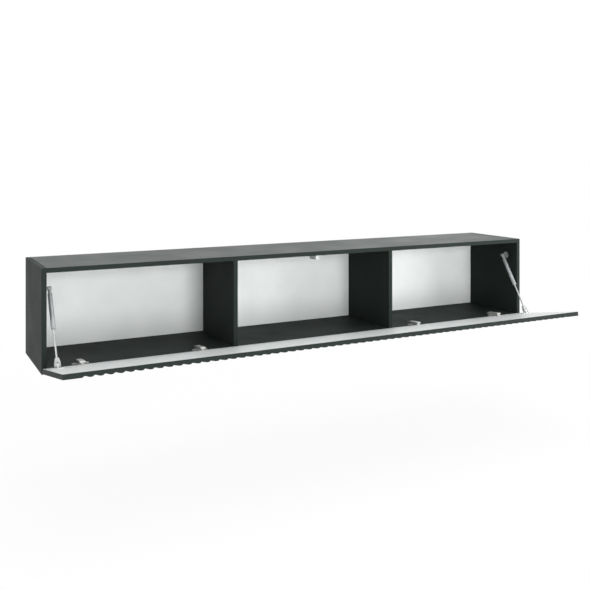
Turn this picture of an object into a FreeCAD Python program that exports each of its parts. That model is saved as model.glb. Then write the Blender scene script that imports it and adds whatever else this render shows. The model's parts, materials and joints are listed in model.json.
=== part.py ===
import FreeCAD, Part
import math
import os

# Wall-hung media console with three bays and one full-width drop flap.
# X runs along the width, +Y points at the wall, +Z is up. The origin is on the wall plane, in the
# middle of the width, on the line of the wall-hanger holes. The flap is modelled closed and then
# turned open about its hinge axis, because it is stored open.

V = FreeCAD.Vector

# Carcass
width = 2000.0
height = 340.0
depth = 325.0
board = 16.0  # thickness of every carcass board
edge_chamfer = 0.5
hanging_drop = 45.0  # from the top face down to the line of the hanger holes

# Back panels, held in grooves
back_thickness = 3.0
back_inset = 9.0  # from the wall plane to the rear face of a back panel
groove_depth = 6.0
groove_clearance = 0.15
back_end_clearance = 0.5

# Flap
flap_thickness = 16.0
flap_side_reveal = 1.0
flap_foot_reveal = 3.0
flap_head_reveal = 3.0
flap_gap = 2.5  # between the carcass front and the flap's inner face
flap_corner = 1.0
open_angle = 79.5
axis_inset = 11.0  # hinge axis below the flap's inner face
axis_rise = 7.0  # hinge axis above the flap's foot

# Flutes on the flap's room side
flute_pitch = 29.65
flute_depth = 4.5
flute_radius = 12.5
flute_lip = 2.0  # rounding between a flute and the flat land beside it
flute_margin = 64.0  # least distance from the flap's end to the middle of a flute

# Concealed hinges
hinge_from_side = 111.0
hinge_from_divider = 120.0
cup_radius = 17.4
cup_wall = 1.0
cup_depth = 10.6
cup_floor = 0.9
cup_edge = 3.0  # board left between the flap's foot and the cup bore
cup_bore_clearance = 0.1
cup_bore_spare_depth = 0.3
flange_thickness = 1.2
flange_radius = 18.6
flange_span = 52.0
flange_height = 14.0
flange_rise = 6.5  # middle of the wings above the middle of the cup
cup_screw_spacing = 42.0
cup_pin_radius = 1.2
cup_pin_swing = 3.6  # distance of the cup pin from the hinge axis
link_pivot_swing = 18.0  # distance of the link's pivot from the hinge axis
link_pivot_angle = 71.0  # of that line above the horizontal
link_thickness = 1.5
link_blade_half_width = 5.0
link_eye_radius = 2.4
link_end_gap = 0.3
arm_half_width = 9.0
arm_wall = 1.3
arm_side_clearance = 0.3
arm_pin_radius = 1.25
pin_clearance = 0.05
arm_length = 53.0  # behind the carcass front
arm_rear_height = 9.0  # above the bay floor
arm_corner = 2.5
nose_gap = 0.4  # between the link's eye and the inside of the arm's nose
arm_foot_clearance = 0.2
plate_thickness = 2.0
plate_setback = 24.0  # from the carcass front to the line of the plate screws
plate_span = 56.0
plate_depth = 16.0
plate_screw_spacing = 40.0
rail_height = 5.0
rail_front = 12.0
rail_back = 50.0
rail_clearance = 0.2
arm_screw_setback = 36.0

# Gas struts
strut_inset = 20.0  # strut axis from the side panel's inner face
strut_top_setback = 69.0  # upper pivot behind the carcass front
strut_top_height = 264.0  # upper pivot above the carcass underside
strut_foot_along = 72.0  # lower pivot from the flap's foot, along the flap
strut_foot_rise = 11.0  # lower pivot above the flap's inner face
stud_radius = 4.0
stud_boss_radius = 6.0
stud_boss_height = 3.0
stud_tube_gap = 0.3  # between the stud's end and the plane that touches the tube's side
socket_radius = 6.5
socket_side_inset = 0.5  # of the upper end piece from the plane that touches the tube's side
socket_rim = 1.8
socket_neck_radius = 5.5
tube_start = 20.0  # from the upper pivot to the closed end of the tube
tube_length = 118.0
tube_radius = 7.5
tube_wall = 1.0
tube_end_wall = 2.0
guide_nose = 4.0
guide_plug = 6.0
rod_radius = 3.0
rod_clearance = 0.05
piston_length = 8.0
piston_clearance = 0.05
piston_rest_gap = 6.0
wall_disc_radius = 15.0
wall_disc_thickness = 2.5
wall_disc_edge = 0.8
wall_screw_swing = 10.2
wall_screw_turns = (90.0, 210.0, 330.0)
fork_half_width = 9.4
fork_neck_half_width = 6.2
fork_radius = 7.0  # of the cheeks about the lower pivot
fork_shoulder = 8.0  # from the lower pivot to where the fork starts to narrow
fork_length = 22.5
fork_ear_gap = 0.5  # between a cheek and the ear
fork_slot_spare = 1.5  # between the slot's root and the ear's crown
fork_rod_floor = 4.0  # solid left between the slot and the rod's end
fork_rounding = 1.2  # of the half-width, how far out the corners are rounded off
ear_thickness = 4.0
ear_radius = 6.5
ear_foot = 20.0
foot_pin_radius = 2.5
foot_pin_proud = 0.8
foot_plate_side_gap = 1.0  # from the side panel's inner face, flap closed
foot_plate_length = 22.0
foot_plate_thickness = 2.5
foot_plate_corner = 4.0
foot_screw_inset = 4.5  # from the end of the plate

# Push latch
latch_width = 14.0
latch_length = 40.0
latch_height = 16.0
latch_setback = 6.0
latch_foot_width = 30.0
latch_foot_length = 18.0
latch_foot_thickness = 2.0
plunger_head_width = 13.0
plunger_head_height = 16.0
plunger_head_thickness = 3.5
plunger_proud = 1.5  # of the carcass front
plunger_stem_radius = 3.5
plunger_stem_length = 22.0
plunger_travel = 3.5
plunger_clearance = 0.05
strike_width = 16.0
strike_height = 24.0
strike_thickness = 0.8
strike_corner = 3.0
latch_corner = 1.5
plunger_corner = 1.0

# Wall hangers
hanger_thickness = 1.5
hanger_height = 60.0
hanger_above = 26.0  # of that height above the hanging line
hanger_overhang = 24.0
hanger_edge_inset = 2.0
hanger_hole_inset = 12.0
hanger_hole_radius = 5.0
hanger_slot_radius = 2.6
hanger_slot_rise = 12.0
hanger_screw_edge = 10.0
hanger_seat_clearance = 0.1

# Joinery
dowel_radius = 4.0
dowel_in_face = 10.0
dowel_in_end = 20.0
dowel_clearance = 0.05
cam_radius = 7.5
cam_depth = 12.5
cam_from_end = 24.0
cam_clearance = 0.1
cam_bolt_radius = 3.4
cam_bolt_thread_radius = 2.5
cam_bolt_thread = 10.5
cam_front_setback = 50.0  # front row of cams, from the carcass front
cam_rear_setback = 60.0  # rear row, from the wall plane
dowel_front_setback = 90.0
dowel_rear_setback = 100.0

# Screws: shank radius, length, head radius, head height
screw_clearance = 0.05
euro_screw = (2.5, 11.0, 3.8, 2.2)
cup_screw = (1.75, 9.0, 3.4, 1.4)
bracket_screw = (1.75, 11.0, 3.3, 1.4)
latch_screw = (1.5, 9.0, 3.0, 1.4)
hanger_screw = (2.0, 30.0, 3.6, 1.3)
clamp_screw = (2.0, 8.0, 3.2, 1.6)

# Planes that the sizes above give
top_z = hanging_drop
bottom_z = top_z - height
floor_z = bottom_z + board
ceiling_z = top_z - board
front_y = -depth
side_x = width / 2
inner_x = side_x - board
bay_width = (width - 4 * board) / 3
divider_x = bay_width / 2  # face of a divider towards the middle bay
back_front_y = -back_inset - back_thickness
cam_rows = (front_y + cam_front_setback, -cam_rear_setback)
dowel_rows = (front_y + dowel_front_setback, -dowel_rear_setback)

flap_inner_y = front_y - flap_gap
flap_outer_y = flap_inner_y - flap_thickness
flap_foot_z = bottom_z + flap_foot_reveal
flap_half = side_x - flap_side_reveal
flap_length = height - flap_foot_reveal - flap_head_reveal
axis_y = flap_inner_y - axis_inset
axis_z = flap_foot_z + axis_rise

cup_z = flap_foot_z + cup_edge + cup_radius + cup_bore_clearance
hinge_places = (
    -inner_x + hinge_from_side,
    -divider_x - board - hinge_from_divider,
    divider_x + board + hinge_from_divider,
    inner_x - hinge_from_side,
)


def box(x0, x1, y0, y1, z0, z1):
    """Box between two corners, given as pairs along each axis."""
    return Part.makeBox(x1 - x0, y1 - y0, z1 - z0, V(x0, y0, z0))


def rod(start, end, radius):
    """Cylinder from one point to another."""
    along = end - start
    return Part.makeCylinder(radius, along.Length, start, along)


def prism_x(points, x0, x1):
    """Solid between two X planes with a closed outline of (y, z) points."""
    corners = [V(x0, y, z) for y, z in points]
    face = Part.Face(Part.makePolygon(corners + corners[:1]))
    return face.extrude(V(x1 - x0, 0, 0))


def turned(profile, base, axis):
    """Solid of revolution about a line, from (distance along, radius) points."""
    side = axis.cross(V(1, 0, 0))
    if side.Length < 0.5:
        side = axis.cross(V(0, 1, 0))
    side.normalize()
    corners = [base + axis * along + side * radius for along, radius in profile]
    face = Part.Face(Part.makePolygon(corners + corners[:1]))
    return face.revolve(base, axis, 360)


def mirrored(shape):
    """Copy on the other side of the middle plane."""
    return shape.mirror(V(0, 0, 0), V(1, 0, 0))


def opened(shape):
    """Copy of a closed flap's piece, turned open about the hinge axis."""
    copy = shape.copy()
    copy.rotate(V(0, axis_y, axis_z), V(1, 0, 0), open_angle)
    return copy


def opened_point(point):
    """Place that a point of the closed flap takes when it is open."""
    centre = V(0, axis_y, axis_z)
    return centre + FreeCAD.Rotation(V(1, 0, 0), open_angle).multVec(point - centre)


def fused(shapes):
    """One solid from pieces that overlap or touch."""
    whole = shapes[0].multiFuse(shapes[1:])
    return whole.removeSplitter()


def save(name, shapes):
    """Write one node, which may be a group of separate solids."""
    solids = [solid for shape in shapes for solid in shape.Solids]
    shape = solids[0] if len(solids) == 1 else Part.makeCompound(solids)
    shape.exportStep("parts/" + name + ".step")


def screw(kind, seat, inward):
    """Screw as a plain shank and head: seat is under the head, inward is the way it is driven."""
    radius, length, head_radius, head_height = kind
    profile = (
        (length, 0),
        (length, radius),
        (0, radius),
        (0, head_radius),
        (-head_height, head_radius),
        (-head_height, 0),
    )
    return turned(profile, seat, inward)


def screw_hole(kind, seat, inward):
    """Hole that takes a screw's shank, with a little room past its tip."""
    radius, length = kind[:2]
    end = seat + inward * (length + 4 * screw_clearance)
    return rod(seat - inward * flap_gap, end, radius + screw_clearance)


# Joinery between the boards. A joint is a board's end that meets another board's face.


def corner_joints():
    """Every joint: (point on the contact plane, way into the end grain, face that holds the cam)."""
    joints = []
    for side in (-1, 1):
        for level in (ceiling_z + board / 2, floor_z - board / 2):
            joints.append((V(side * inner_x, 0, level), V(-side, 0, 0), V(0, 0, -1)))
        for level, into in ((ceiling_z, -1), (floor_z, 1)):
            middle = side * (divider_x + board / 2)
            joints.append((V(middle, 0, level), V(0, 0, into), V(1, 0, 0)))
    return joints


def at_row(point, y):
    """Same point, moved to a row of fittings."""
    return V(point.x, y, point.z)


def joint_dowels(radius, spare):
    """Dowels of every joint, grown by the spare length and given their radius."""
    pieces = []
    for contact, into, _ in corner_joints():
        for row_y in dowel_rows:
            seat = at_row(contact, row_y)
            start = seat - into * (dowel_in_face + spare)
            pieces.append(rod(start, seat + into * (dowel_in_end + spare), radius))
    return pieces


def cam_places():
    """Every cam fitting: (point on the contact plane, way into the end grain, face that holds the cam)."""
    places = []
    for contact, into, face in corner_joints():
        places += [(at_row(contact, row_y), into, face) for row_y in cam_rows]
    return places


def cam_bolt_bore(contact, into):
    """Hole for a cam bolt's shank, from the contact plane to the middle of its cam."""
    return rod(contact, contact + into * cam_from_end, cam_bolt_radius + dowel_clearance)


def cam_disc(contact, into, face):
    """Cam let into a board's face, with a bore for the bolt's head."""
    seat = contact + into * cam_from_end + face * (board / 2)
    disc = rod(seat - face * cam_depth, seat, cam_radius)
    return disc.cut(cam_bolt_bore(contact, into))


def cam_bolt(contact, into):
    """Cam bolt: thread in the face, shank in the end grain, its end held in the cam."""
    tip = cam_from_end - cam_clearance
    profile = (
        (-cam_bolt_thread, 0),
        (-cam_bolt_thread, cam_bolt_thread_radius),
        (0, cam_bolt_thread_radius),
        (0, cam_bolt_radius),
        (tip, cam_bolt_radius),
        (tip, 0),
    )
    return turned(profile, contact, into)


def joinery_holes():
    """All the holes that the dowels, cams and cam bolts sit in."""
    holes = joint_dowels(dowel_radius + dowel_clearance, back_end_clearance)
    for contact, into, face in cam_places():
        seat = contact + into * cam_from_end + face * (board / 2)
        holes.append(rod(seat - face * (cam_depth + cam_clearance), seat, cam_radius + cam_clearance))
        holes.append(cam_bolt_bore(contact, into))
        thread_end = contact - into * (cam_bolt_thread + cam_clearance)
        holes.append(rod(thread_end, contact, cam_bolt_thread_radius + dowel_clearance))
    return holes


# Carcass boards


def carcass_board(x0, x1, y0, y1, z0, z1):
    """Board with its edges eased."""
    blank = box(x0, x1, y0, y1, z0, z1)
    return blank.makeChamfer(edge_chamfer, blank.Edges)


def back_grooves():
    """Grooves for the three back panels, around each bay."""
    y0 = back_front_y - groove_clearance
    y1 = -back_inset + groove_clearance
    grooves = []
    for middle in (-bay_width - board, 0, bay_width + board):
        half = bay_width / 2 + groove_depth
        grooves.append(
            box(middle - half, middle + half, y0, y1, floor_z - groove_depth, ceiling_z + groove_depth)
        )
    return grooves


def back_panels():
    """Three thin panels that close the bays."""
    reach = groove_depth - back_end_clearance
    panels = []
    for middle in (-bay_width - board, 0, bay_width + board):
        half = bay_width / 2 + reach
        panels.append(
            box(middle - half, middle + half, back_front_y, -back_inset, floor_z - reach, ceiling_z + reach)
        )
    return panels


def carcass_boards():
    """The six boards, with grooves, joinery holes and screw holes."""
    blanks = {
        "top_panel": carcass_board(-inner_x, inner_x, front_y, 0, ceiling_z, top_z),
        "bottom_panel": carcass_board(-inner_x, inner_x, front_y, 0, bottom_z, floor_z),
        "left_side_panel": carcass_board(-side_x, -inner_x, front_y, 0, bottom_z, top_z),
        "right_side_panel": carcass_board(inner_x, side_x, front_y, 0, bottom_z, top_z),
        "left_divider": carcass_board(-divider_x - board, -divider_x, front_y, 0, floor_z, ceiling_z),
        "right_divider": carcass_board(divider_x, divider_x + board, front_y, 0, floor_z, ceiling_z),
    }
    holes = back_grooves() + joinery_holes() + hanger_seats()
    holes += [screw_hole(hanger_screw, seat, V(0, -1, 0)) for seat in hanger_screw_seats()]
    holes += [screw_hole(euro_screw, seat, V(0, 0, -1)) for seat in plate_screw_seats()]
    holes += [screw_hole(latch_screw, seat, V(0, 0, 1)) for seat in latch_screw_seats()]
    for seat in side_screw_seats():
        left = screw_hole(bracket_screw, seat, V(-1, 0, 0))
        holes += [left, mirrored(left)]
    boards = {}
    for name, blank in blanks.items():
        near = [hole for hole in holes if hole.BoundBox.intersect(blank.BoundBox)]
        boards[name] = blank.cut(near)
    return boards


# Wall hangers


def hanger_faces():
    """X of the board face that each hanger reaches past, and the way it reaches."""
    return ((-inner_x, 1), (-divider_x, 1), (divider_x, -1), (inner_x, -1))


def hanger_blank(face, way, spare):
    """Outline of one hanger over a board's rear edge, grown by the spare size."""
    x = (face - way * (board - hanger_edge_inset + spare), face + way * (hanger_overhang + spare))
    z0 = hanger_above - hanger_height - spare
    return box(min(x), max(x), -hanger_thickness, 0, z0, hanger_above + spare)


def hanger_seats():
    """Shallow rebates that let the hangers lie flush with the rear edges."""
    return [hanger_blank(face, way, hanger_seat_clearance) for face, way in hanger_faces()]


def hanger_screw_seats():
    """Where the hanger screws' heads bear, inside the plate's countersinks."""
    seats = []
    for face, way in hanger_faces():
        for z in (hanger_above - hanger_screw_edge, hanger_above - hanger_height + hanger_screw_edge):
            seats.append(V(face - way * board / 2, -hanger_thickness, z))
    return seats


def wall_hanger(face, way):
    """Plate with a keyhole: a round entry on the hanging line and a slot above it."""
    plate = hanger_blank(face, way, 0)
    hole_x = face + way * hanger_hole_inset
    start = V(hole_x, -2 * hanger_thickness, 0)
    end = V(hole_x, hanger_thickness, 0)
    rise = V(0, 0, hanger_slot_rise)
    slot = box(
        hole_x - hanger_slot_radius,
        hole_x + hanger_slot_radius,
        start.y,
        end.y,
        0,
        hanger_slot_rise,
    )
    cuts = [rod(start, end, hanger_hole_radius), slot, rod(start + rise, end + rise, hanger_slot_radius)]
    for seat in hanger_screw_seats():
        head_hole = rod(seat, seat + V(0, 2 * hanger_thickness, 0), hanger_screw[2] + screw_clearance)
        shank_hole = rod(seat - V(0, hanger_thickness, 0), seat, hanger_screw[0] + screw_clearance)
        cuts += [head_hole, shank_hole]
    near = [cut for cut in cuts if cut.BoundBox.intersect(plate.BoundBox)]
    return plate.cut(near)


def hanger_screws():
    """Screws through the hangers, with their heads inside the plate."""
    return [screw(hanger_screw, seat, V(0, -1, 0)) for seat in hanger_screw_seats()]


# Flap


def flap_section():
    """Edges of the flap's section across its width: plain inside, fluted outside."""
    edges = []
    here = [V(-flap_half + flap_corner, flap_inner_y, flap_foot_z)]

    def line_to(x, y):
        there = V(x, y, flap_foot_z)
        edges.append(Part.LineSegment(here[0], there).toShape())
        here[0] = there

    def arc_to(centre, radius, middle_angle, x, y):
        angle = math.radians(middle_angle)
        middle = centre + V(math.cos(angle), math.sin(angle), 0) * radius
        there = V(x, y, flap_foot_z)
        edges.append(Part.Arc(here[0], middle, there).toShape())
        here[0] = there

    def corner_to(x_sign, y, middle_angle, x, y_end):
        centre = V(x_sign * (flap_half - flap_corner), y, flap_foot_z)
        arc_to(centre, flap_corner, middle_angle, x, y_end)

    line_to(flap_half - flap_corner, flap_inner_y)
    corner_to(1, flap_inner_y - flap_corner, 45, flap_half, flap_inner_y - flap_corner)
    line_to(flap_half, flap_outer_y + flap_corner)
    corner_to(1, flap_outer_y + flap_corner, -45, flap_half - flap_corner, flap_outer_y)

    reach = flute_radius + flute_lip
    half = math.sqrt(flute_depth * (2 * reach - flute_depth))
    lean = math.degrees(math.atan2(reach - flute_depth, half))  # of the line between arc centres
    side_count = int((flap_half - flute_margin) / flute_pitch + 0.5)
    for place in range(side_count, -side_count, -1):
        x = (place - 0.5) * flute_pitch
        lip_y = flap_outer_y + flute_lip
        touch_x = half - flute_lip * math.cos(math.radians(lean))
        touch_y = lip_y - flute_lip * math.sin(math.radians(lean))
        right_lip = V(x + half, lip_y, flap_foot_z)
        left_lip = V(x - half, lip_y, flap_foot_z)
        hollow = V(x, flap_outer_y - flute_radius + flute_depth, flap_foot_z)
        line_to(x + half, flap_outer_y)
        arc_to(right_lip, flute_lip, (270 + 180 + lean) / 2, x + touch_x, touch_y)
        arc_to(hollow, flute_radius, 90, x - touch_x, touch_y)
        arc_to(left_lip, flute_lip, (270 + 360 - lean) / 2, x - half, flap_outer_y)

    line_to(-flap_half + flap_corner, flap_outer_y)
    corner_to(-1, flap_outer_y + flap_corner, 225, -flap_half, flap_outer_y + flap_corner)
    line_to(-flap_half, flap_inner_y - flap_corner)
    corner_to(-1, flap_inner_y - flap_corner, 135, -flap_half + flap_corner, flap_inner_y)
    return edges


def flap_board():
    """Fluted flap with cup bores and screw holes, closed."""
    face = Part.Face(Part.Wire(flap_section()))
    blank = face.extrude(V(0, 0, flap_length))
    holes = []
    for x in hinge_places:
        mouth = V(x, flap_inner_y + flap_gap, cup_z)
        bottom = V(x, flap_inner_y - cup_depth - cup_bore_spare_depth, cup_z)
        holes.append(rod(mouth, bottom, cup_radius + cup_bore_clearance))
    holes += [screw_hole(cup_screw, seat, V(0, -1, 0)) for seat in cup_screw_seats()]
    for seat in foot_screw_seats():
        left = screw_hole(bracket_screw, seat, V(0, -1, 0))
        holes += [left, mirrored(left)]
    return blank.cut(holes)


# Hinges


def hinge_point(swing, angle):
    """(y, z) at a distance from the hinge axis and an angle above the horizontal."""
    turn = math.radians(angle)
    return axis_y + swing * math.cos(turn), axis_z + swing * math.sin(turn)


link_pivot = hinge_point(link_pivot_swing, link_pivot_angle)
nose_radius = link_eye_radius + nose_gap + arm_wall
cup_pin_closed = hinge_point(cup_pin_swing, link_pivot_angle - open_angle / 2)
cup_pin_open = hinge_point(cup_pin_swing, link_pivot_angle + open_angle / 2)


def cup_screw_seats():
    """Under the heads of the cup screws, on the flanges of the closed flap."""
    seats = []
    for x in hinge_places:
        for side in (-1, 1):
            seat = V(x + side * cup_screw_spacing / 2, flap_inner_y + flange_thickness, cup_z + flange_rise)
            seats.append(seat)
    return seats


def hinge_cup(x):
    """Cup let into the closed flap, with its winged flange and the pin inside."""
    y0 = flap_inner_y
    flange_y = y0 + flange_thickness
    bowl = rod(V(x, y0 - cup_depth, cup_z), V(x, flange_y, cup_z), cup_radius)
    rim = rod(V(x, y0, cup_z), V(x, flange_y, cup_z), flange_radius)
    wing_z = cup_z + flange_rise
    wing_half = flange_span / 2 - flange_height / 2
    bar = box(
        x - wing_half, x + wing_half, y0, flange_y, wing_z - flange_height / 2, wing_z + flange_height / 2
    )
    tips = [
        rod(V(x + side * wing_half, y0, wing_z), V(x + side * wing_half, flange_y, wing_z), flange_height / 2)
        for side in (-1, 1)
    ]
    shell = fused([bowl, rim, bar] + tips)
    inside = rod(
        V(x, y0 - cup_depth + cup_floor, cup_z), V(x, flange_y + cup_floor, cup_z), cup_radius - cup_wall
    )
    holes = [inside]
    for side in (-1, 1):
        seat = V(x + side * cup_screw_spacing / 2, flange_y, wing_z)
        holes.append(rod(seat - V(0, 2 * flange_thickness, 0), seat, cup_screw[0] + screw_clearance))
    shell = shell.cut(holes)
    pin_y, pin_z = cup_pin_closed
    pin = rod(V(x - cup_radius, pin_y, pin_z), V(x + cup_radius, pin_y, pin_z), cup_pin_radius)
    return fused([shell, pin.common(bowl)])


def arm_top(setback):
    """Height of the arm's top at a distance behind the carcass front."""
    nose_top = link_pivot[1] + nose_radius
    return nose_top + (floor_z + arm_rear_height - nose_top) * setback / arm_length


def arm_side(x):
    """Side of the arm as a face: round nose about the link's pivot and a top that falls to the rear."""
    nose_y, nose_z = link_pivot
    foot_z = floor_z + plate_thickness + arm_foot_clearance
    rear_y = front_y + arm_length
    low = V(x, nose_y, nose_z - nose_radius)
    high = V(x, nose_y, nose_z + nose_radius)
    nose = Part.Arc(low, V(x, nose_y - nose_radius, nose_z), high).toShape()
    corners = [
        high,
        V(x, front_y, arm_top(0)),
        V(x, rear_y - arm_corner, arm_top(arm_length - arm_corner)),
        V(x, rear_y, arm_top(arm_length) - arm_corner),
        V(x, rear_y, foot_z),
        V(x, front_y + rail_front, foot_z),
        low,
    ]
    return Part.Face(Part.Wire([nose] + Part.makePolygon(corners).Edges))


def arm_hollow(x):
    """Inside of the arm as a face: a wall in from the top and nose, open below and behind."""
    nose_y, nose_z = link_pivot
    inner_radius = nose_radius - arm_wall
    end_y = front_y + arm_length + arm_wall
    below = floor_z
    left = V(x, nose_y - inner_radius, nose_z)
    high = V(x, nose_y, nose_z + inner_radius)
    turn = math.sqrt(0.5) * inner_radius
    cap = Part.Arc(left, V(x, nose_y - turn, nose_z + turn), high).toShape()
    corners = [
        high,
        V(x, front_y, arm_top(0) - arm_wall),
        V(x, front_y + arm_length - arm_corner, arm_top(arm_length - arm_corner) - arm_wall),
        V(x, end_y, arm_top(arm_length) - arm_corner - arm_wall),
        V(x, end_y, below),
        V(x, nose_y - 2 * nose_radius, below),
        V(x, nose_y - 2 * nose_radius, nose_z),
        left,
    ]
    return Part.Face(Part.Wire([cap] + Part.makePolygon(corners).Edges))


def hinge_arm(x):
    """Channel-shaped arm that straddles the plate's rail and carries the link's pin at its nose."""
    body = arm_side(x - arm_half_width).extrude(V(2 * arm_half_width, 0, 0))
    half = arm_half_width - arm_wall
    cuts = [arm_hollow(x - half).extrude(V(2 * half, 0, 0))]
    pin_y, pin_z = link_pivot
    reach = 2 * arm_half_width
    cuts.append(
        rod(V(x - reach, pin_y, pin_z), V(x + reach, pin_y, pin_z), arm_pin_radius + pin_clearance)
    )
    seat = clamp_seat(x)
    cuts.append(rod(seat - V(0, 0, 3 * arm_wall), seat + V(0, 0, arm_wall), clamp_screw[0] + screw_clearance))
    return body.cut(cuts)


def clamp_seat(x):
    """Under the head of the screw that clamps an arm to its plate's rail."""
    return V(x, front_y + arm_screw_setback, arm_top(arm_screw_setback - clamp_screw[2]))


def hinge_pin(x):
    """Pin through the arm's cheeks and the link's eye."""
    y, z = link_pivot
    return rod(V(x - arm_half_width, y, z), V(x + arm_half_width, y, z), arm_pin_radius)


def hinge_link(x):
    """Link that hangs from the arm's pin and stays clear of the cup's pin while the flap turns."""
    half = arm_half_width - arm_wall - arm_side_clearance
    start = V(x, *link_pivot)
    way = (V(x, *cup_pin_open) - start).normalize()
    reach = link_pivot_swing - cup_pin_swing - cup_pin_radius - link_end_gap
    across = V(1, 0, 0).cross(way)
    eye = rod(start - V(half, 0, 0), start + V(half, 0, 0), link_eye_radius)
    corners = [
        start + across * (link_thickness / 2),
        start + way * reach + across * (link_thickness / 2),
        start + way * reach - across * (link_thickness / 2),
        start - across * (link_thickness / 2),
    ]
    plate = prism_x(
        [(p.y, p.z) for p in corners], x - link_blade_half_width, x + link_blade_half_width
    )
    bore = rod(start - V(2 * half, 0, 0), start + V(2 * half, 0, 0), arm_pin_radius + pin_clearance)
    return fused([eye, plate]).cut(bore)


def plate_screw_seats():
    """Under the heads of the plate screws."""
    seats = []
    for x in hinge_places:
        for side in (-1, 1):
            place = V(x + side * plate_screw_spacing / 2, front_y + plate_setback, floor_z + plate_thickness)
            seats.append(place)
    return seats


def hinge_plate(x):
    """Winged plate on the bay floor, with the raised rail that the arm straddles."""
    middle_y = front_y + plate_setback
    wing_half = plate_span / 2 - plate_depth / 2
    z1 = floor_z + plate_thickness
    y0 = middle_y - plate_depth / 2
    y1 = middle_y + plate_depth / 2
    bar = box(x - wing_half, x + wing_half, y0, y1, floor_z, z1)
    tips = []
    for side in (-1, 1):
        foot = V(x + side * wing_half, middle_y, floor_z)
        tips.append(rod(foot, foot + V(0, 0, plate_thickness), plate_depth / 2))
    half = arm_half_width - arm_wall - rail_clearance
    rail = box(x - half, x + half, front_y + rail_front, front_y + rail_back, floor_z, z1 + rail_height)
    plate = fused([bar, rail] + tips)
    holes = []
    for side in (-1, 1):
        seat = V(x + side * plate_screw_spacing / 2, middle_y, z1)
        holes.append(rod(seat - V(0, 0, 2 * plate_thickness), seat, euro_screw[0] + screw_clearance))
    tip = clamp_seat(x) - V(0, 0, clamp_screw[1] + 4 * screw_clearance)
    holes.append(rod(tip, clamp_seat(x), clamp_screw[0] + screw_clearance))
    return plate.cut(holes)


# Gas struts. The left one is modelled, and the right one is its mirror image.

strut_x = -inner_x + strut_inset
strut_top = V(strut_x, front_y + strut_top_setback, bottom_z + strut_top_height)
strut_foot_closed = V(strut_x, flap_inner_y + strut_foot_rise, flap_foot_z + strut_foot_along)
strut_foot = opened_point(strut_foot_closed)
strut_way = (strut_foot - strut_top).normalize()
strut_length = (strut_foot - strut_top).Length
socket_half_width = tube_radius - socket_side_inset
stud_length = strut_inset - tube_radius - stud_tube_gap
fork_slot_half = ear_thickness / 2 + fork_ear_gap
fork_slot_depth = ear_radius + fork_slot_spare
fork_rod_seat = fork_slot_depth + fork_rod_floor
foot_plate_half = strut_inset - foot_plate_side_gap


def on_strut(distance):
    """Point on the strut's axis, from the upper pivot."""
    return strut_top + strut_way * distance


def side_bracket():
    """Round plate on the side panel, with a boss and the stud of the upper pivot."""
    wall = V(-inner_x, strut_top.y, strut_top.z)
    profile = (
        (0, 0),
        (0, wall_disc_radius),
        (wall_disc_thickness - wall_disc_edge, wall_disc_radius),
        (wall_disc_thickness, wall_disc_radius - wall_disc_edge),
        (wall_disc_thickness, stud_boss_radius),
        (wall_disc_thickness + stud_boss_height, stud_boss_radius - wall_disc_edge),
        (wall_disc_thickness + stud_boss_height, stud_radius),
        (stud_length, stud_radius),
        (stud_length, 0),
    )
    body = turned(profile, wall, V(1, 0, 0))
    through = V(wall_disc_thickness, 0, 0)
    holes = [
        rod(seat - through, seat, bracket_screw[0] + screw_clearance) for seat in side_screw_seats()
    ]
    return body.cut(holes)


def side_screw_seats():
    """Under the heads of the side bracket's three screws."""
    seats = []
    for turn in wall_screw_turns:
        angle = math.radians(turn)
        y = strut_top.y + wall_screw_swing * math.cos(angle)
        z = strut_top.z + wall_screw_swing * math.sin(angle)
        seats.append(V(-inner_x + wall_disc_thickness, y, z))
    return seats


def upper_socket():
    """Plastic end piece on the tube: a drum across the strut with rounded rims, and a neck."""
    profile = (
        (-socket_half_width, 0),
        (-socket_half_width, socket_radius - socket_rim),
        (socket_rim - socket_half_width, socket_radius),
        (socket_half_width - socket_rim, socket_radius),
        (socket_half_width, socket_radius - socket_rim),
        (socket_half_width, 0),
    )
    drum = turned(profile, strut_top, V(1, 0, 0))
    return fused([drum, rod(strut_top, on_strut(tube_start), socket_neck_radius)])


def strut_tube():
    """Pressure tube, closed at its upper end."""
    bore = tube_radius - tube_wall
    profile = (
        (tube_start, 0),
        (tube_start, tube_radius - tube_wall),
        (tube_start + tube_wall, tube_radius),
        (tube_start + tube_length, tube_radius),
        (tube_start + tube_length, bore),
        (tube_start + tube_end_wall, bore),
        (tube_start + tube_end_wall, 0),
    )
    return turned(profile, strut_top, strut_way)


def rod_guide():
    """Guide and seal at the tube's open end, around the rod."""
    mouth = tube_start + tube_length
    hole = rod_radius + rod_clearance
    profile = (
        (mouth - guide_plug, hole),
        (mouth - guide_plug, tube_radius - tube_wall),
        (mouth, tube_radius - tube_wall),
        (mouth, tube_radius),
        (mouth + guide_nose - tube_wall, tube_radius),
        (mouth + guide_nose, tube_radius - tube_wall),
        (mouth + guide_nose, hole),
    )
    return turned(profile, strut_top, strut_way)


def piston_rod():
    """Rod with its piston, drawn out as far as the open flap takes it."""
    piston_end = tube_start + tube_length - guide_plug - piston_rest_gap
    piston_radius = tube_radius - tube_wall - piston_clearance
    end = strut_length - fork_rod_seat
    profile = (
        (piston_end - piston_length, 0),
        (piston_end - piston_length, piston_radius),
        (piston_end, piston_radius),
        (piston_end, rod_radius),
        (end, rod_radius),
        (end, 0),
    )
    return turned(profile, strut_top, strut_way)


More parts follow.
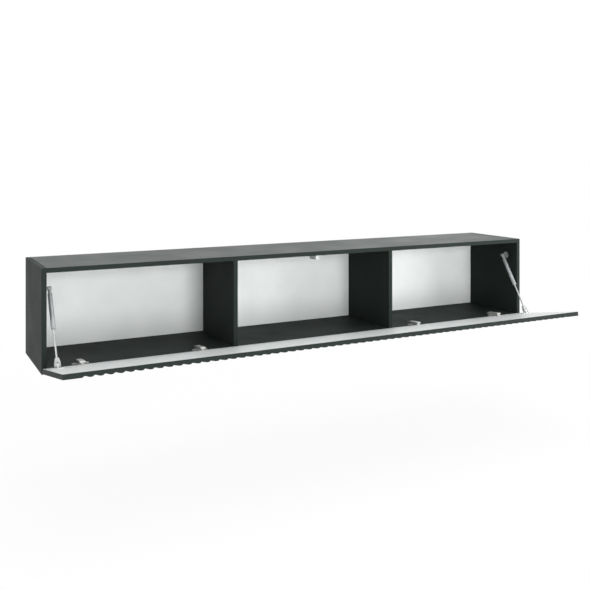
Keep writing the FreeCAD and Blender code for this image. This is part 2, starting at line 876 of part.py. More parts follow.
def fork_blank():
    """Fork upright on the origin: widens from its neck to two round-ended cheeks, corners rounded."""
    front = [
        (-fork_half_width, -fork_radius),
        (fork_half_width, -fork_radius),
        (fork_half_width, fork_shoulder),
        (fork_neck_half_width, fork_length),
        (-fork_neck_half_width, fork_length),
        (-fork_half_width, fork_shoulder),
    ]
    corners = [V(x, -fork_radius, z) for x, z in front]
    wide = Part.Face(Part.makePolygon(corners + corners[:1])).extrude(V(0, 2 * fork_radius, 0))
    side = [
        (-fork_radius, 0),
        (-fork_radius, fork_shoulder),
        (-fork_neck_half_width, fork_length),
        (fork_neck_half_width, fork_length),
        (fork_radius, fork_shoulder),
        (fork_radius, 0),
    ]
    reach = V(fork_half_width, 0, 0)
    deep = fused([prism_x(side, -fork_half_width, fork_half_width), rod(-reach, reach, fork_radius)])
    profile = (
        (-fork_radius, 0),
        (-fork_radius, fork_half_width + fork_rounding),
        (fork_shoulder, fork_half_width + fork_rounding),
        (fork_length, fork_neck_half_width + fork_rounding),
        (fork_length, 0),
    )
    return wide.common(deep).common(turned(profile, V(0, 0, 0), V(0, 0, 1)))


def lower_socket():
    """Plastic end piece on the rod: a fork that straddles the flap bracket's ear."""
    root = fork_slot_depth - fork_slot_half
    below = -2 * fork_radius
    across = V(0, 2 * fork_radius, 0)
    slot = box(-fork_slot_half, fork_slot_half, -across.y, across.y, below, root)
    slot_root = rod(V(0, 0, root) - across, V(0, 0, root) + across, fork_slot_half)
    pin_reach = V(2 * fork_half_width, 0, 0)
    pin_hole = rod(-pin_reach, pin_reach, foot_pin_radius + pin_clearance)
    rod_hole = rod(V(0, 0, fork_rod_seat), V(0, 0, 2 * fork_length), rod_radius + rod_clearance)
    fork = fork_blank().cut([slot, slot_root, pin_hole, rod_hole])
    lean = math.degrees(math.atan2(strut_way.y, -strut_way.z))
    fork.rotate(V(0, 0, 0), V(1, 0, 0), lean)
    fork.translate(strut_foot)
    return fork


def foot_pin():
    """Pin of the lower pivot on the closed flap, through the ear and both cheeks of the fork."""
    reach = V(fork_half_width + foot_pin_proud, 0, 0)
    return rod(strut_foot_closed - reach, strut_foot_closed + reach, foot_pin_radius)


def foot_screw_seats():
    """Under the heads of the flap bracket's screws, flap closed."""
    y = flap_inner_y + foot_plate_thickness
    reach = foot_plate_half - foot_screw_inset
    return [V(strut_x + side * reach, y, strut_foot_closed.z) for side in (-1, 1)]


def flap_bracket():
    """Cast bracket on the closed flap: screwed plate and an upright ear for the lower pivot."""
    middle = strut_foot_closed
    plate = box(
        strut_x - foot_plate_half,
        strut_x + foot_plate_half,
        flap_inner_y,
        flap_inner_y + foot_plate_thickness,
        middle.z - foot_plate_length / 2,
        middle.z + foot_plate_length / 2,
    )
    corners = [edge for edge in plate.Edges if edge.BoundBox.YLength > foot_plate_thickness / 2]
    plate = plate.makeFillet(foot_plate_corner, corners)
    ear_half = ear_thickness / 2
    ear = prism_x(
        [
            (flap_inner_y, middle.z - ear_foot / 2),
            (middle.y, middle.z - ear_radius),
            (middle.y, middle.z + ear_radius),
            (flap_inner_y, middle.z + ear_foot / 2),
        ],
        strut_x - ear_half,
        strut_x + ear_half,
    )
    across = V(ear_half, 0, 0)
    crown = rod(middle - across, middle + across, ear_radius)
    pin_hole = rod(middle - 2 * across, middle + 2 * across, foot_pin_radius + pin_clearance)
    holes = [pin_hole]
    for seat in foot_screw_seats():
        below = seat - V(0, 2 * foot_plate_thickness, 0)
        holes.append(rod(below, seat, bracket_screw[0] + screw_clearance))
    return fused([plate, ear, crown]).cut(holes)


# Push latch

plunger_z = ceiling_z - latch_height / 2


def latch_screw_seats():
    """Under the heads of the latch's screws."""
    y = front_y + latch_setback + latch_length / 2
    reach = (latch_foot_width + latch_width) / 4
    return [V(side * reach, y, ceiling_z - latch_foot_thickness) for side in (-1, 1)]


def latch_housing():
    """Housing under the top panel, with a screwed foot and the plunger's bore."""
    y0 = front_y + latch_setback
    half = latch_width / 2
    body = box(-half, half, y0, y0 + latch_length, ceiling_z - latch_height, ceiling_z)
    body = body.makeFillet(latch_corner, [edge for edge in body.Edges if edge.BoundBox.ZMax < plunger_z])
    middle = y0 + latch_length / 2
    foot = box(
        -latch_foot_width / 2,
        latch_foot_width / 2,
        middle - latch_foot_length / 2,
        middle + latch_foot_length / 2,
        ceiling_z - latch_foot_thickness,
        ceiling_z,
    )
    stem_end = front_y - plunger_proud + plunger_head_thickness + plunger_stem_length + plunger_travel
    cuts = [
        rod(
            V(0, y0 - latch_setback, plunger_z),
            V(0, stem_end + back_end_clearance, plunger_z),
            plunger_stem_radius + plunger_clearance,
        )
    ]
    for seat in latch_screw_seats():
        end = seat + V(0, 0, 2 * latch_foot_thickness)
        cuts.append(rod(seat - V(0, 0, latch_foot_thickness), end, latch_screw[0] + screw_clearance))
    return fused([body, foot]).cut(cuts)


def latch_plunger():
    """Sprung plunger with a flat head in front of the housing."""
    y0 = front_y - plunger_proud
    half = plunger_head_width / 2
    head = box(
        -half,
        half,
        y0,
        y0 + plunger_head_thickness,
        plunger_z - plunger_head_height / 2,
        plunger_z + plunger_head_height / 2,
    )
    front_edges = [edge for edge in head.Edges if edge.BoundBox.YMax < y0 + plunger_head_thickness / 2]
    head = head.makeFillet(plunger_corner, front_edges)
    stem_start = V(0, y0 + plunger_head_thickness / 2, plunger_z)
    stem_end = V(0, y0 + plunger_head_thickness + plunger_stem_length, plunger_z)
    return fused([head, rod(stem_start, stem_end, plunger_stem_radius)])


def strike_plate():
    """Thin self-adhesive plate on the closed flap that the plunger bears on."""
    half = strike_width / 2
    y1 = flap_inner_y + strike_thickness
    z0 = plunger_z - strike_height / 2
    blank = box(-half, half, flap_inner_y, y1, z0, z0 + strike_height)
    corners = [edge for edge in blank.Edges if edge.BoundBox.YLength > strike_thickness / 2]
    return blank.makeFillet(strike_corner, corners)


def build():
    """Make and write every node."""
    os.makedirs("parts", exist_ok=True)

    for name, shape in carcass_boards().items():
        save(name, [shape])
    for name, shape in zip(("left", "middle", "right"), back_panels()):
        save("back_panel_" + name, [shape])
    save("joinery_dowels", joint_dowels(dowel_radius, 0))
    save("joinery_cams", [cam_disc(*place) for place in cam_places()])
    save("joinery_cam_bolts", [cam_bolt(contact, into) for contact, into, _ in cam_places()])
    for number, (face, way) in enumerate(hanger_faces(), 1):
        save("wall_hanger_%d" % number, [wall_hanger(face, way)])
    save("wall_hanger_screws", hanger_screws())

    save("flap_board", [opened(flap_board())])
    for number, x in enumerate(hinge_places, 1):
        save("hinge_%d_cup" % number, [opened(hinge_cup(x))])
        save("hinge_%d_link" % number, [hinge_link(x)])
        save("hinge_%d_arm" % number, [hinge_arm(x)])
        save("hinge_%d_plate" % number, [hinge_plate(x)])
    save("hinge_pins", [hinge_pin(x) for x in hinge_places])
    save("hinge_cup_screws", [opened(screw(cup_screw, seat, V(0, -1, 0))) for seat in cup_screw_seats()])
    save("hinge_plate_screws", [screw(euro_screw, seat, V(0, 0, -1)) for seat in plate_screw_seats()])
    save("hinge_clamp_screws", [screw(clamp_screw, clamp_seat(x), V(0, 0, -1)) for x in hinge_places])

    struts = {
        "side_bracket": side_bracket(),
        "upper_socket": upper_socket(),
        "tube": strut_tube(),
        "rod_guide": rod_guide(),
        "piston_rod": piston_rod(),
        "lower_socket": lower_socket(),
        "flap_bracket": opened(flap_bracket()),
    }
    for name, shape in struts.items():
        save("left_strut_" + name, [shape])
        save("right_strut_" + name, [mirrored(shape)])
    side_screws = [screw(bracket_screw, seat, V(-1, 0, 0)) for seat in side_screw_seats()]
    save("strut_side_screws", side_screws + [mirrored(piece) for piece in side_screws])
    foot_pins = [opened(foot_pin())]
    save("strut_foot_pins", foot_pins + [mirrored(piece) for piece in foot_pins])
    foot_screws = [opened(screw(bracket_screw, seat, V(0, -1, 0))) for seat in foot_screw_seats()]
    save("strut_flap_screws", foot_screws + [mirrored(piece) for piece in foot_screws])

    save("latch_housing", [latch_housing()])
    save("latch_plunger", [latch_plunger()])
    save("latch_screws", [screw(latch_screw, seat, V(0, 0, 1)) for seat in latch_screw_seats()])
    save("latch_strike_plate", [opened(strike_plate())])


build()
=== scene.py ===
"""Wall-hung media console with its full-width flap open: finishes, screws, light and camera."""
import json
import math

import bmesh
import bpy
from mathutils import Matrix, Vector


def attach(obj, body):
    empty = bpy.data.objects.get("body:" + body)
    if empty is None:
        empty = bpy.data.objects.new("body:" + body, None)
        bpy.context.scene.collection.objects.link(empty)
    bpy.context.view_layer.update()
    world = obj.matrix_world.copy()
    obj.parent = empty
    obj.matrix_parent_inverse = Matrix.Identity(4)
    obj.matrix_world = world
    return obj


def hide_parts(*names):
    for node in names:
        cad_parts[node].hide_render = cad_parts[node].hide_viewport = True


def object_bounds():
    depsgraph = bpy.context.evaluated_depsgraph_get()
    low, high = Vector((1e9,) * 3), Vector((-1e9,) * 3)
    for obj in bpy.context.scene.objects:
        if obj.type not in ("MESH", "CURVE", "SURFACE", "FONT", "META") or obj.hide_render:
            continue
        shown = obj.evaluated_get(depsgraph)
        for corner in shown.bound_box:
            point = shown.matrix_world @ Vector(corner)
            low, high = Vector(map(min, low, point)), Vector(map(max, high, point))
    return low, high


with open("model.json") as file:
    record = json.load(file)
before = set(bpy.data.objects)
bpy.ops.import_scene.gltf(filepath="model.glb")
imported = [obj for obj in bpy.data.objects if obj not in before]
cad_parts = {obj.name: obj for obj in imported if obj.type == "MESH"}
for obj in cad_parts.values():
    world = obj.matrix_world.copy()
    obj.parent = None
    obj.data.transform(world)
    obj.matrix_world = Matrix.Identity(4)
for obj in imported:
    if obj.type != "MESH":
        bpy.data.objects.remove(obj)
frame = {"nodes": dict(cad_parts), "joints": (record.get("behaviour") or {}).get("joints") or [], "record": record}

cad_low, cad_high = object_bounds()
nodes = frame["nodes"]

# Flap: at rest it is open, as far as its hinge lets it
hinge = next(joint for joint in frame["joints"] if joint["name"] == "flap_hinge")
OPEN_ANGLE = math.radians(hinge["range_deg"][1])
FLAP_NORMAL = Vector((0, math.cos(OPEN_ANGLE), math.sin(OPEN_ANGLE)))  # of its inner face

NEAR_TOP = 0.001  # faces this near the top of the carcass are the top panel's upper face
SAME_WAY = 0.99  # least cosine between the normals of faces that look the same way
SMOOTH_LIMIT = math.radians(30)  # edges shallower than this are shaded smooth

# Screws: node, body it rides on, way the heads face at rest (None: along X, towards the middle)
SCREWS = (
    ("hinge_plate_screws", "carcass", Vector((0, 0, 1))),
    ("hinge_clamp_screws", "carcass", Vector((0, 0, 1))),
    ("hinge_cup_screws", "flap", FLAP_NORMAL),
    ("strut_flap_screws", "flap", FLAP_NORMAL),
    ("strut_side_screws", "carcass", None),
    ("latch_screws", "carcass", Vector((0, 0, -1))),
    ("wall_hanger_screws", "carcass", Vector((0, 1, 0))),
)
WELD = 1e-6  # corners this near each other are one
LEVEL = 1e-5  # heights this near each other are one
AT_RIM = 0.98  # of the head's radius, beyond which a corner is on its rim
HEAD_ROUNDING = 0.35  # of the head's height, rounded off at its rim
ROUNDING_STEPS = 4
ROUND_FACES = 32  # around a screw
CROSS_LENGTH = 0.6  # of the head's radius, from the middle to the end of a slot
CROSS_WIDTH = 0.16
CROSS_DEPTH = 0.7  # of the head's height
CROSS_TAPER = 0.6  # size of the recess's floor, as a share of its mouth
FIRST_TURN, NEXT_TURN = 0.4, 1.1  # of the first cross and from each to the next, in radians

# Camera: lens, principal point and place behind the view
PICTURE = 590.0
SENSOR = 0.036
FOCAL_PIXELS = 809.6
PRINCIPAL_POINT = (308.0, 156.47)
CAMERA_PLACE = Vector((-1.4506, -3.0080, 0.4024))
CAMERA_YAW = math.radians(27.753)

# Floor: where it lies, and where its shadow starts to fade and is gone
FLOOR_SIZE = 60.0
FLOOR_DROP = 0.42  # below the console
FLOOR_Z = cad_low.z - FLOOR_DROP
FLOOR_COLOUR = (0.80, 0.80, 0.80, 1)
SHADOW_NEAR = 0.9
SHADOW_FAR = 2.2
SHADOW_WHITE = 0.93  # share of white in the floor where its shadow is strongest

# Light: the world's own, and square lamps as name, place, target, size and power
WHITE = (1, 1, 1, 1)
WORLD_COLOUR = (0.97, 1.0, 0.99, 1)
WORLD_STRENGTH = 0.5
LAMPS = (
    ("left_window", (-4.2, -0.6, 1.4), (-0.9, -0.2, 0.0), 2.4, 22),
    ("front_box", (0.3, -7.0, 0.5), (0.1, 0.0, -0.15), 2.4, 265),
    ("overhead", (0.2, -0.6, 3.2), (0.0, -0.3, 0.0), 3.0, 105),
    ("right_box", (3.4, -2.4, 0.4), (0.9, -0.3, -0.1), 2.2, 98),
    ("rear_right", (3.4, 4.0, 0.9), (0.6, -0.16, 0.045), 1.6, 4),
)

# Noise: the range that its factor mostly keeps to, and the colour sockets of a Mix node
NOISE_RANGE = (0.3, 0.7)
MIX_FIRST, MIX_SECOND, MIX_RESULT = 6, 7, 2


def srgb(red, green, blue):
    """Linear colour from 0-255 display values."""
    channels = []
    for value in (red, green, blue):
        share = value / 255
        channels.append(share / 12.92 if share <= 0.04045 else ((share + 0.055) / 1.055) ** 2.4)
    return (*channels, 1.0)


# Materials


class Finish:
    """A Principled material whose colour, gloss and relief vary over the surface."""

    def __init__(self, name, metallic=0.0, specular=0.5):
        self.material = bpy.data.materials.new(name)
        self.material.use_nodes = True
        self.tree = self.material.node_tree
        self.shader = self.tree.nodes["Principled BSDF"]
        self.shader.inputs["Metallic"].default_value = metallic
        self.shader.inputs["Specular IOR Level"].default_value = specular
        self.coordinates = self.tree.nodes.new("ShaderNodeTexCoord").outputs["Object"]
        self.normal = None

    def node(self, kind, **inputs):
        """New node, with values or links for its inputs (underscores stand for spaces)."""
        made = self.tree.nodes.new(kind)
        for key, value in inputs.items():
            socket = made.inputs[key.replace("_", " ")]
            if isinstance(value, bpy.types.NodeSocket):
                self.tree.links.new(value, socket)
            else:
                socket.default_value = value
        return made

    def noise(self, scale, stretch=(1, 1, 1), detail=3.0, roughness=0.5):
        """Noise factor. Scale is features per metre, and stretch thins it along an axis."""
        mapping = self.node("ShaderNodeMapping", Vector=self.coordinates, Scale=stretch)
        texture = self.node(
            "ShaderNodeTexNoise",
            Vector=mapping.outputs["Vector"], Scale=scale, Detail=detail, Roughness=roughness,
        )
        return texture.outputs["Fac"]

    def spread(self, factor, low, high):
        """Noise factor turned into a value between two limits."""
        start, end = NOISE_RANGE
        remap = self.node(
            "ShaderNodeMapRange", Value=factor, From_Min=start, From_Max=end, To_Min=low, To_Max=high
        )
        return remap.outputs["Result"]

    def blend(self, factor, first, second):
        """Colour between two colours or colour sockets."""
        mix = self.tree.nodes.new("ShaderNodeMix")
        mix.data_type = "RGBA"
        self.tree.links.new(factor, mix.inputs["Factor"])
        for key, value in ((MIX_FIRST, first), (MIX_SECOND, second)):
            if isinstance(value, bpy.types.NodeSocket):
                self.tree.links.new(value, mix.inputs[key])
            else:
                mix.inputs[key].default_value = value
        return mix.outputs[MIX_RESULT]

    def colour(self, socket):
        self.tree.links.new(socket, self.shader.inputs["Base Color"])

    def gloss(self, factor, low, high):
        """Roughness between two limits."""
        self.tree.links.new(self.spread(factor, low, high), self.shader.inputs["Roughness"])

    def relief(self, height, distance, strength=1.0):
        """Bump of a height in metres, added to what is there."""
        made = self.node("ShaderNodeBump", Height=height, Distance=distance, Strength=strength)
        if self.normal:
            self.tree.links.new(self.normal, made.inputs["Normal"])
        self.normal = made.outputs["Normal"]
        self.tree.links.new(self.normal, self.shader.inputs["Normal"])


def lacquer(name, dark, light, specular, tint, rough):
    """Lacquer on board: slow drift in tone, fine orange peel, tinted gloss."""
    finish = Finish(name, specular=specular)
    finish.shader.inputs["Specular Tint"].default_value = tint
    drift = finish.noise(2.3, detail=2.0)
    speck = finish.noise(900.0, detail=2.0)
    tone = finish.blend(finish.spread(drift, 0.2, 0.8), dark, light)
    finish.colour(finish.blend(finish.spread(speck, 0.0, 0.35), tone, light))
    finish.gloss(finish.noise(7.0), *rough)
    finish.relief(speck, 0.00003, 0.5)
    return finish.material


def streaked(name, dark, light, stretch):
    """Pale laminate with faint streaks along one direction."""
    finish = Finish(name)
    streak = finish.noise(1.0, stretch=stretch, detail=4.0, roughness=0.6)
    finish.colour(finish.blend(finish.spread(streak, 0.0, 1.0), dark, light))
    finish.gloss(streak, 0.34, 0.46)
    finish.relief(finish.noise(1100.0, detail=1.0), 0.00002, 0.4)
    return finish.material


def foil(name, dark, light):
    """Printed foil on thin hardboard: soft mottling."""
    finish = Finish(name)
    finish.colour(finish.blend(finish.spread(finish.noise(9.0, detail=5.0), 0.0, 1.0), dark, light))
    finish.gloss(finish.noise(30.0), 0.52, 0.66)
    finish.relief(finish.noise(420.0, detail=2.0), 0.00003, 0.5)
    return finish.material


def metal(name, dark, light, rough, metallic, relief=0.000004):
    """Plated or polished metal with a fine grain."""
    finish = Finish(name, metallic=metallic)
    cloud = finish.noise(60.0)
    grain = finish.noise(700.0, detail=2.0)
    finish.colour(finish.blend(finish.spread(cloud, 0.0, 1.0), dark, light))
    finish.gloss(grain, *rough)
    finish.relief(grain, relief, 0.6)
    return finish.material


def paint(name, dark, light, rough):
    """Sprayed paint on metal."""
    finish = Finish(name, metallic=0.35)
    finish.colour(finish.blend(finish.spread(finish.noise(45.0), 0.0, 1.0), dark, light))
    finish.gloss(finish.noise(260.0), *rough)
    finish.relief(finish.noise(900.0, detail=1.0), 0.00001, 0.5)
    return finish.material


def moulding(name, dark, light, rough=(0.42, 0.56)):
    """Moulded plastic with an eroded texture."""
    finish = Finish(name)
    finish.colour(finish.blend(finish.spread(finish.noise(80.0), 0.0, 1.0), dark, light))
    finish.gloss(finish.noise(500.0), *rough)
    finish.relief(finish.noise(1500.0, detail=1.0), 0.00002, 0.6)
    return finish.material


def beech(name):
    """Turned beech, for the dowels."""
    finish = Finish(name)
    grain = finish.noise(40.0, stretch=(1, 12, 12), detail=5.0)
    finish.colour(finish.blend(finish.spread(grain, 0.0, 1.0), srgb(176, 134, 92), srgb(206, 168, 124)))
    finish.gloss(grain, 0.6, 0.75)
    finish.relief(grain, 0.00005, 0.5)
    return finish.material


LACQUER = (srgb(36, 41, 39), srgb(41, 47, 44))
MATT = {"tint": (0.86, 1.0, 0.96, 1.0), "rough": (0.5, 0.6)}
SATIN = {"tint": (0.86, 1.0, 0.97, 1.0), "rough": (0.42, 0.52)}
MATERIALS = {
    "carcass_board": lacquer("carcass_lacquer", *LACQUER, specular=0.05, **MATT),
    "carcass_top": lacquer("top_lacquer", *LACQUER, specular=0.34, **SATIN),
    "back_board": foil("back_foil", srgb(236, 240, 239), srgb(244, 247, 246)),
    "flap_board": lacquer("flap_lacquer", *LACQUER, specular=0.06, **MATT),
    "flap_inner": streaked(
        "flap_inner_face", srgb(188, 191, 191), srgb(200, 202, 202), stretch=(1.5, 260, 260)
    ),
    "dowel": beech("beech"),
    "zinc": metal(
        "zinc_plate", srgb(128, 131, 132), srgb(152, 154, 154), (0.40, 0.54), metallic=0.7
    ),
    "screw": metal(
        "screw_zinc", srgb(150, 152, 152), srgb(178, 180, 179), (0.32, 0.44), metallic=0.8
    ),
    "hinge_steel": metal(
        "nickel_plate", srgb(172, 173, 170), srgb(198, 199, 196), (0.34, 0.46), metallic=0.6
    ),
    "strut_tube": paint("strut_paint", srgb(142, 145, 146), srgb(160, 162, 163), (0.34, 0.42)),
    "strut_rod": metal(
        "polished_rod",
        srgb(176, 178, 180), srgb(194, 196, 197), (0.24, 0.27), metallic=0.9, relief=0.000001,
    ),
    "socket_grey": moulding("grey_moulding", srgb(140, 143, 143), srgb(154, 157, 157)),
    "socket_light": moulding("light_moulding", srgb(164, 167, 167), srgb(180, 182, 182)),
    "foot_casting": paint("foot_paint", srgb(186, 189, 189), srgb(202, 204, 204), (0.38, 0.48)),
    "latch_body": moulding("latch_grey", srgb(196, 200, 200), srgb(208, 211, 211)),
    "latch_tip": moulding("latch_white", srgb(176, 179, 178), srgb(186, 189, 188), (0.3, 0.4)),
    "strike": paint("strike_paint", srgb(186, 190, 189), srgb(204, 207, 206), (0.3, 0.4)),
}


def dress(piece, *names):
    """Give a piece its materials, in place of what it came with."""
    piece.data.materials.clear()
    for name in names:
        piece.data.materials.append(MATERIALS[name])


def smooth_round_faces(piece):
    """Smooth shading across shallow edges, sharp across the others."""
    mesh = piece.data
    for polygon in mesh.polygons:
        polygon.use_smooth = True
    mesh.set_sharp_from_angle(angle=SMOOTH_LIMIT)


def dress_frame():
    """Finish every node of the frame by its slot in the record."""
    for part in frame["record"]["subparts"]:
        piece = nodes[part["node"]]
        dress(piece, part["material_slot"])
        smooth_round_faces(piece)


def dress_top():
    """Satin lacquer on the top panel's upper face, which is wiped more than the rest."""
    board = nodes["top_panel"]
    dress(board, "carcass_board", "carcass_top")
    for polygon in board.data.polygons:
        if polygon.normal.z > SAME_WAY and polygon.center.z > cad_high.z - NEAR_TOP:
            polygon.material_index = 1


def dress_flap():
    """Pale laminate on the flap's inner face, lacquer on its edges and fluted side."""
    board = nodes["flap_board"]
    dress(board, "flap_board", "flap_inner")
    for polygon in board.data.polygons:
        if polygon.normal.dot(FLAP_NORMAL) > SAME_WAY:
            polygon.material_index = 1


# Screws with cross recesses, in place of the frame's plain ones


def islands(mesh):
    """Corner places of each separate solid of a mesh, whose faces come unjoined."""
    shell = bmesh.new()
    shell.from_mesh(mesh)
    bmesh.ops.remove_doubles(shell, verts=shell.verts, dist=WELD)
    known = set()
    found = []
    for first in shell.verts:
        if first in known:
            continue
        known.add(first)
        queue = [first]
        places = []
        while queue:
            corner = queue.pop()
            places.append(corner.co.copy())
            for edge in corner.link_edges:
                other = edge.other_vert(corner)
                if other not in known:
                    known.add(other)
                    queue.append(other)
        found.append(places)
    shell.free()
    return found


def screw_measures(places, facing):
    """Middle of the head's top, head radius and height, shank radius and length below the head."""
    heights = [place.dot(facing) for place in places]
    top = max(heights)
    rim = [place for place, height in zip(places, heights) if height > top - LEVEL]
    # an even mean, whatever corners the tessellation put on the rim
    middle = Vector([(min(p[k] for p in rim) + max(p[k] for p in rim)) / 2 for k in range(3)])

    def off_axis(place):
        away = place - middle
        return (away - facing * away.dot(facing)).length

    radius = max(off_axis(place) for place in rim)
    under = min(
        height for place, height in zip(places, heights) if off_axis(place) > radius * AT_RIM
    )
    tip = min(heights)
    shank = max(
        off_axis(place) for place, height in zip(places, heights) if height < tip + LEVEL
    )
    return middle, radius, top - under, shank, under - tip


def turned_screw(radius, height, shank, length):
    """Plain screw standing on the origin, head up, with a rounded rim."""
    rounding = height * HEAD_ROUNDING
    inner = radius - rounding
    profile = [(0.0, 0.0), (inner, 0.0)]
    for step in range(1, ROUNDING_STEPS + 1):
        turn = math.radians(90.0 / ROUNDING_STEPS * step)
        profile.append((inner + rounding * math.sin(turn), -rounding + rounding * math.cos(turn)))
    tip = -height - length
    profile += [(radius, -height), (shank, -height), (shank, tip), (0.0, tip)]
    shape = bmesh.new()
    line = [shape.verts.new((x, 0, z)) for x, z in profile]
    edges = [shape.edges.new(pair) for pair in zip(line, line[1:])]
    bmesh.ops.spin(
        shape,
        geom=line + edges,
        cent=(0, 0, 0),
        axis=(0, 0, 1),
        angle=math.tau,
        steps=ROUND_FACES,
        use_merge=True,
    )
    bmesh.ops.remove_doubles(shape, verts=shape.verts, dist=WELD)
    bmesh.ops.recalc_face_normals(shape, faces=shape.faces)
    return shape


def cross_recess(radius, height):
    """Tapered cross that is cut from a head of that radius and height."""
    reach, half, depth = radius * CROSS_LENGTH, radius * CROSS_WIDTH, height * CROSS_DEPTH
    corners = ((half, half, 0), (half, reach, 0), (-half, reach, 0))
    star = []
    for quarter in range(4):
        turn = Matrix.Rotation(math.tau / 4 * quarter, 3, "Z")
        star += [turn @ Vector(corner) for corner in corners]
    shape = bmesh.new()
    mouth = [shape.verts.new((place.x, place.y, depth)) for place in star]
    floor = [
        shape.verts.new((place.x * CROSS_TAPER, place.y * CROSS_TAPER, -depth)) for place in star
    ]
    shape.faces.new(mouth)
    shape.faces.new(floor[::-1])
    count = len(star)
    for k in range(count):
        after = (k + 1) % count
        shape.faces.new((mouth[k], floor[k], floor[after], mouth[after]))
    bmesh.ops.recalc_face_normals(shape, faces=shape.faces)
    return shape


def screw_mesh(radius, height, shank, length):
    """Screw standing on the origin, head up, with a cross recess."""
    pieces = []
    for name, shape in (
        ("screw_blank", turned_screw(radius, height, shank, length)),
        ("cross_recess", cross_recess(radius, height)),
    ):
        mesh = bpy.data.meshes.new(name)
        shape.to_mesh(mesh)
        shape.free()
        piece = bpy.data.objects.new(name, mesh)
        bpy.context.scene.collection.objects.link(piece)
        pieces.append(piece)
    blank, cutter = pieces
    cut = blank.modifiers.new("recess", "BOOLEAN")
    cut.operation = "DIFFERENCE"
    cut.solver = "EXACT"
    cut.object = cutter
    depsgraph = bpy.context.evaluated_depsgraph_get()
    mesh = bpy.data.meshes.new_from_object(blank.evaluated_get(depsgraph))
    for piece in pieces:
        bpy.data.objects.remove(piece)
    return mesh


def build_screws():
    """One piece for each node of screws, all of one kind, with every cross turned its own way."""
    for name, body, facing in SCREWS:
        joined = bmesh.new()
        kind = None
        for number, places in enumerate(islands(nodes[name].data)):
            way = facing
            if way is None:  # heads on the side panels face the middle
                way = Vector((-1 if places[0].x > 0 else 1, 0, 0))
            middle, *sizes = screw_measures(places, way)
            if kind is None:
                kind = screw_mesh(*sizes)
            turn = Matrix.Rotation(FIRST_TURN + NEXT_TURN * number, 4, "Z")
            stand = way.to_track_quat("Z", "Y").to_matrix().to_4x4()
            screw = kind.copy()
            screw.transform(Matrix.Translation(middle) @ stand @ turn)
            joined.from_mesh(screw)
        mesh = bpy.data.meshes.new(name + "_cross")
        joined.to_mesh(mesh)
        joined.free()
        piece = bpy.data.objects.new(name + "_cross", mesh)
        bpy.context.scene.collection.objects.link(piece)
        dress(piece, "screw")
        smooth_round_faces(piece)
        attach(piece, body)
        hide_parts(name)


# Studio


def seen_ray(tree):
    """Socket that is 1 for a ray of the camera's or of a reflection, and 0 for any other."""
    rays = tree.nodes.new("ShaderNodeLightPath")
    either = tree.nodes.new("ShaderNodeMath")
    either.operation = "MAXIMUM"
    tree.links.new(rays.outputs["Is Camera Ray"], either.inputs[0])
    tree.links.new(rays.outputs["Is Glossy Ray"], either.inputs[1])
    return either.outputs[0]


def mix_shaders(tree, share, first, second, output):
    """Mix two shader nodes by a share, and link the result to the output node."""
    mix = tree.nodes.new("ShaderNodeMixShader")
    tree.links.new(share, mix.inputs["Fac"])
    tree.links.new(first.outputs[0], mix.inputs[1])
    tree.links.new(second.outputs[0], mix.inputs[2])
    tree.links.new(mix.outputs[0], output.inputs["Surface"])


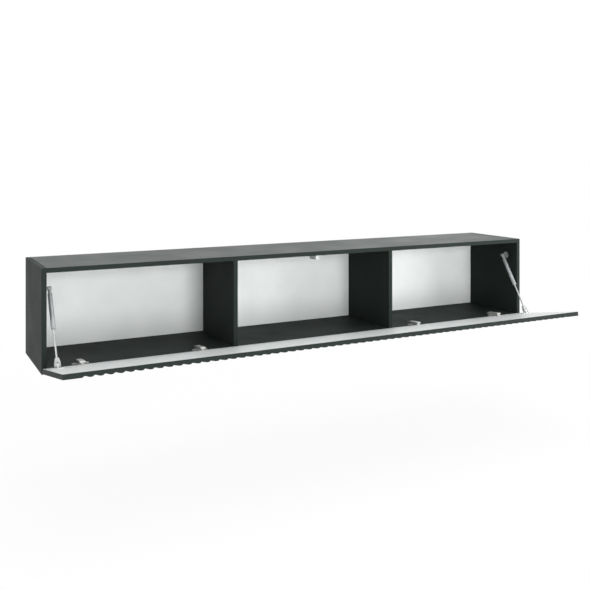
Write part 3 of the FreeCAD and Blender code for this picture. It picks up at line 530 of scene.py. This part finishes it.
def stage_material():
    """White where it is seen, but for the shadow near the console; pale floor to other rays."""
    material = bpy.data.materials.new("pale_floor")
    material.use_nodes = True
    tree = material.node_tree
    tree.nodes.clear()
    add = tree.nodes.new
    matt = add("ShaderNodeBsdfDiffuse")
    matt.inputs["Color"].default_value = FLOOR_COLOUR
    white = add("ShaderNodeEmission")
    white.inputs["Color"].default_value = WHITE
    white.inputs["Strength"].default_value = 1.0
    place = add("ShaderNodeTexCoord")
    away = add("ShaderNodeVectorMath")
    away.operation = "LENGTH"
    tree.links.new(place.outputs["Object"], away.inputs[0])
    fade = add("ShaderNodeMapRange")
    fade.interpolation_type = "SMOOTHSTEP"
    fade.inputs["From Min"].default_value = SHADOW_NEAR
    fade.inputs["From Max"].default_value = SHADOW_FAR
    fade.inputs["To Min"].default_value = SHADOW_WHITE
    fade.inputs["To Max"].default_value = 1.0
    tree.links.new(away.outputs["Value"], fade.inputs["Value"])
    share = add("ShaderNodeMath")
    share.operation = "MULTIPLY"
    tree.links.new(seen_ray(tree), share.inputs[0])
    tree.links.new(fade.outputs["Result"], share.inputs[1])
    mix_shaders(tree, share.outputs[0], matt, white, add("ShaderNodeOutputMaterial"))
    return material


def build_floor():
    """Wide pale floor below the console."""
    bpy.ops.mesh.primitive_plane_add(size=FLOOR_SIZE, location=(0, 0, FLOOR_Z))
    floor = bpy.context.object
    floor.name = "floor"
    floor.data.materials.append(stage_material())


def build_world():
    """Soft even light; white where the camera or a reflection sees it."""
    world = bpy.data.worlds.new("studio")
    bpy.context.scene.world = world
    world.use_nodes = True
    tree = world.node_tree
    tree.nodes.clear()
    add = tree.nodes.new
    light = add("ShaderNodeBackground")
    light.inputs["Color"].default_value = WORLD_COLOUR
    light.inputs["Strength"].default_value = WORLD_STRENGTH
    white = add("ShaderNodeBackground")
    white.inputs["Color"].default_value = WHITE
    white.inputs["Strength"].default_value = 1.0
    mix_shaders(tree, seen_ray(tree), light, white, add("ShaderNodeOutputWorld"))


def add_lamp(name, place, target, size, power):
    """Square area lamp at a place, aimed at a target."""
    data = bpy.data.lights.new(name, "AREA")
    data.shape = "SQUARE"
    data.size = size
    data.energy = power
    lamp = bpy.data.objects.new(name, data)
    lamp.location = place
    lamp.rotation_mode = "QUATERNION"
    lamp.rotation_quaternion = (Vector(target) - Vector(place)).to_track_quat("-Z", "Y")
    bpy.context.scene.collection.objects.link(lamp)


def build_camera():
    """Camera at the fitted place, level, with its principal point off the middle."""
    data = bpy.data.cameras.new("camera")
    data.sensor_width = SENSOR * 1000
    data.lens = FOCAL_PIXELS / PICTURE * data.sensor_width
    data.shift_x = (PICTURE / 2 - PRINCIPAL_POINT[0]) / PICTURE
    data.shift_y = (PRINCIPAL_POINT[1] - PICTURE / 2) / PICTURE
    camera = bpy.data.objects.new("camera", data)
    camera.location = CAMERA_PLACE
    camera.rotation_euler = (math.pi / 2, 0, -CAMERA_YAW)
    bpy.context.scene.collection.objects.link(camera)
    bpy.context.scene.camera = camera


dress_frame()
dress_top()
dress_flap()
build_screws()
build_floor()
build_world()
for lamp in LAMPS:
    add_lamp(*lamp)
build_camera()
bpy.context.scene.view_settings.view_transform = "Standard"
